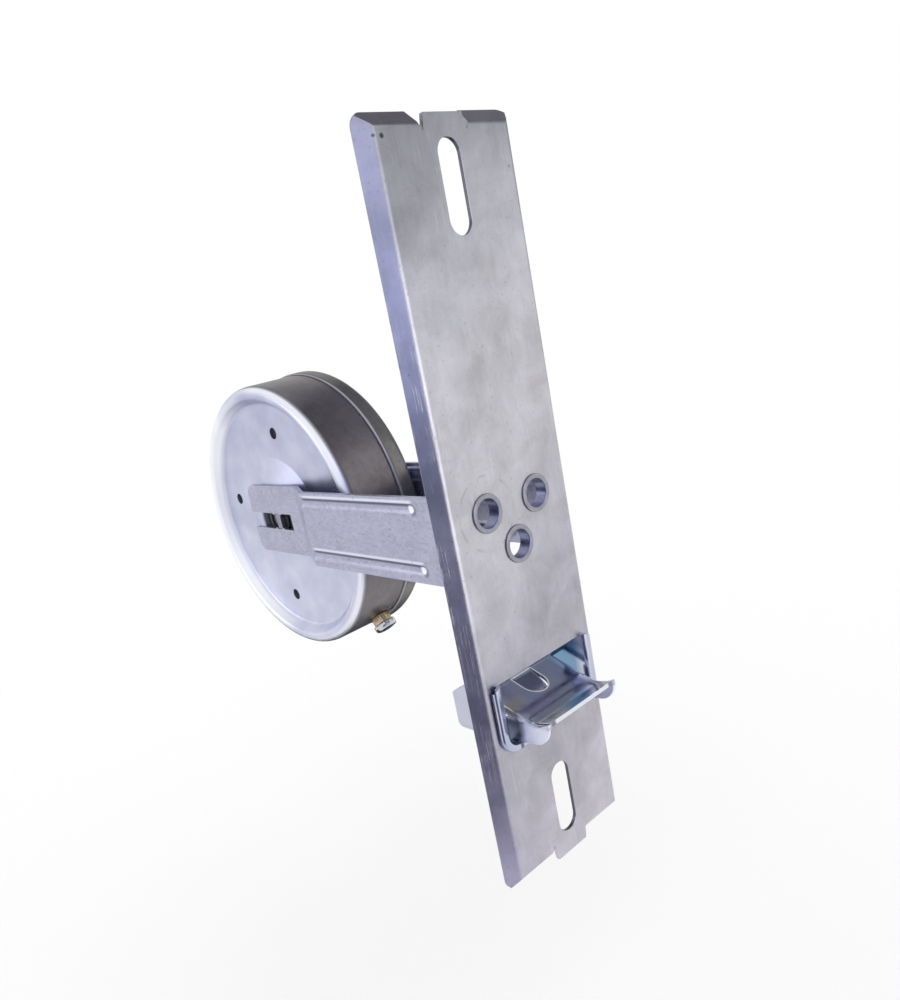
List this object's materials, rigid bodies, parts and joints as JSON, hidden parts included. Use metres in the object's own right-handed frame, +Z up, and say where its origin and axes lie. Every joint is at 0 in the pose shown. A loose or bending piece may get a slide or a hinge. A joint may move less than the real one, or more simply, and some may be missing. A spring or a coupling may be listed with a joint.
{
  "type": "roller shutter belt winder",
  "caption": "Recessed belt winder for a roller shutter: dished cover plate with wall slots and a belt nose, an arm bracket, and a spring drum that turns on a fixed arbor.",
  "frame": {"origin": "midway between the two wall slots, on the front face of the cover plate", "axes": "+X to the right seen from the room, +Y into the wall, +Z up along the cover plate"},
  "size_m": [0.05, 0.1617, 0.2],
  "materials": {
    "galvanised_plate": "galvanised sheet, satin, mottled and scratched",
    "galvanised_bracket": "galvanised sheet, fine grain",
    "eyelet_zinc": "zinc plated, satin",
    "bright_zinc": "bright zinc plated with a blue passivated tint",
    "arbor_steel": "zinc plated, satin",
    "black_nylon": "matt black plastic",
    "drum_zinc": "galvanised deep drawn sheet, smooth",
    "liner_board": "dark oiled board",
    "spring_steel": "blued spring steel, oiled",
    "rivet_steel": "zinc plated",
    "insert_brass": "plain turned brass",
    "screw_zinc": "bright zinc plated"
  },
  "bodies": {
    "frame": {"cover_plate": "galvanised_plate", "bracket": "galvanised_bracket", "eyelet_left": "eyelet_zinc", "eyelet_right": "eyelet_zinc", "eyelet_lower": "eyelet_zinc", "belt_guide": "bright_zinc", "arbor": "arbor_steel", "bush_left": "black_nylon", "bush_right": "black_nylon"},
    "drum": {"drum_shell": "drum_zinc", "drum_lid": "drum_zinc", "liner_left": "liner_board", "liner_right": "liner_board", "mainspring": "spring_steel", "spring_rivet": "rivet_steel", "belt_insert": "insert_brass", "belt_screw": "screw_zinc"}
  },
  "joints": [
    {"name": "drum_spin", "type": "hinge", "parent": "frame", "child": "drum", "pos_m": [0, 0.1018, -0.0013], "axis": [-1, 0, 0], "range_deg": [0, 4860], "stiffness_Nm_per_rad": 0.01}
  ]
}
